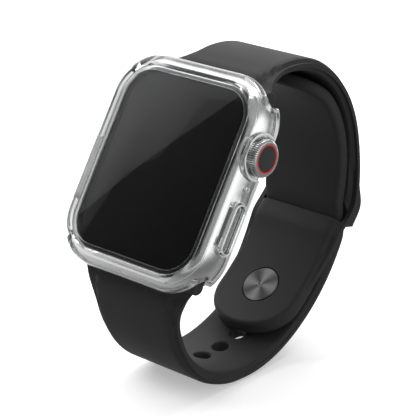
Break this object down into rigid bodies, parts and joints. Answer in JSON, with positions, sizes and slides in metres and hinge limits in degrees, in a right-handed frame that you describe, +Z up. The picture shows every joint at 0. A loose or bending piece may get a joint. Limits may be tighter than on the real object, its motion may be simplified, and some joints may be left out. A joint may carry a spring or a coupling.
{
  "type": "smartwatch in a clear protector case",
  "caption": "Rounded-rectangle smartwatch in a clear push-fit bumper with a cover pane over the display, on a closed pin-and-tuck elastomer band it stands on.",
  "frame": {"origin": "middle of the bounding box in X and Y, on the ground the closed band stands on", "axes": "+X to the crown side, -Y to the side the display faces, +Z up; the display's normal points to -Y and 32.4 degrees up"},
  "size_m": [0.0422, 0.0646, 0.0679],
  "materials": {
    "case_aluminium": "fine bead-blasted silver",
    "display_glass": "polished black cover glass",
    "sensor_glass": "polished dark crystal",
    "back_ceramic": "polished dark back cover",
    "dark_plastic": "matt moulded",
    "board_laminate": "solder mask",
    "cell_foil": "wrapped pouch cell",
    "coil_copper": "wound enamelled wire",
    "bush_brass": "machined",
    "ring_orange": "orange-red inlay",
    "crown_cap_dark": "dark polished disc",
    "pin_steel": "machined",
    "stud_steel": "circular brushed grey",
    "seal_rubber": "moulded seal",
    "strap_elastomer": "soft matt charcoal elastomer",
    "protector_clear": "clear glossy moulding",
    "pane_bond_clear": "clear adhesive line"
  },
  "bodies": {
    "case": {"case_housing": "case_aluminium", "display_glass": "display_glass", "display_gasket": "seal_rubber", "display_panel": "dark_plastic", "back_cover": "back_ceramic", "sensor_crystal": "sensor_glass", "sensor_board": "board_laminate", "charging_coil": "coil_copper", "logic_board": "board_laminate", "battery": "cell_foil", "haptic_motor": "pin_steel", "speaker_module": "dark_plastic", "microphone": "dark_plastic", "crown_bush": "bush_brass", "crown_seal": "seal_rubber", "crown_switch": "dark_plastic", "side_button_switch": "dark_plastic"},
    "crown_carrier": {"crown_thrust_plate": "pin_steel"},
    "crown": {"crown_wheel": "case_aluminium", "crown_ring": "ring_orange", "crown_cap": "crown_cap_dark", "crown_shaft": "pin_steel"},
    "side_button": {"side_button": "case_aluminium"},
    "upper_release": {"upper_release_button": "case_aluminium"},
    "lower_release": {"lower_release_button": "case_aluminium"},
    "pin_strap": {"pin_strap": "strap_elastomer", "pin_strap_catch": "pin_steel", "band_stud": "stud_steel", "band_stud_knob": "stud_steel"},
    "hole_strap": {"hole_strap": "strap_elastomer", "hole_strap_catch": "pin_steel"},
    "protector": {"protector_bumper": "protector_clear", "protector_pane": "protector_clear", "protector_pane_bond": "pane_bond_clear"},
    "button_cover": {"protector_button_cover": "protector_clear"}
  },
  "joints": [
    {"name": "protector_lift", "type": "slide", "parent": "case", "child": "protector", "axis": [0, -0.8443, 0.5358], "range_m": [0, 0.016]},
    {"name": "cover_press", "type": "slide", "parent": "protector", "child": "button_cover", "axis": [-1, 0, 0], "range_m": [0, 0.00025], "stiffness_N_per_m": 300},
    {"name": "side_button_press", "type": "slide", "parent": "case", "child": "side_button", "axis": [-1, 0, 0], "range_m": [0, 0.00025], "stiffness_N_per_m": 1500},
    {"name": "crown_press", "type": "slide", "parent": "case", "child": "crown_carrier", "axis": [-1, 0, 0], "range_m": [0, 0.00035], "stiffness_N_per_m": 1500},
    {"name": "crown_turn", "type": "hinge", "parent": "crown_carrier", "child": "crown", "pos_m": [0.0187, -0.0125, 0.05393], "axis": [1, 0, 0], "continuous": true},
    {"name": "upper_release_press", "type": "slide", "parent": "case", "child": "upper_release", "axis": [0, -0.8443, 0.5358], "range_m": [0, 0.0005], "stiffness_N_per_m": 800},
    {"name": "lower_release_press", "type": "slide", "parent": "case", "child": "lower_release", "axis": [0, -0.8443, 0.5358], "range_m": [0, 0.0005], "stiffness_N_per_m": 800},
    {"name": "hole_strap_slide", "type": "slide", "parent": "case", "child": "hole_strap", "axis": [1, 0, 0], "range_m": [0, 0.04]},
    {"name": "pin_strap_slide", "type": "slide", "parent": "case", "child": "pin_strap", "axis": [1, 0, 0], "range_m": [0, 0.04]}
  ],
  "couplings": [
    {"joint": "cover_press", "follows": "side_button_press", "ratio": 1},
    {"joint": "pin_strap_slide", "follows": "hole_strap_slide", "ratio": 1}
  ]
}
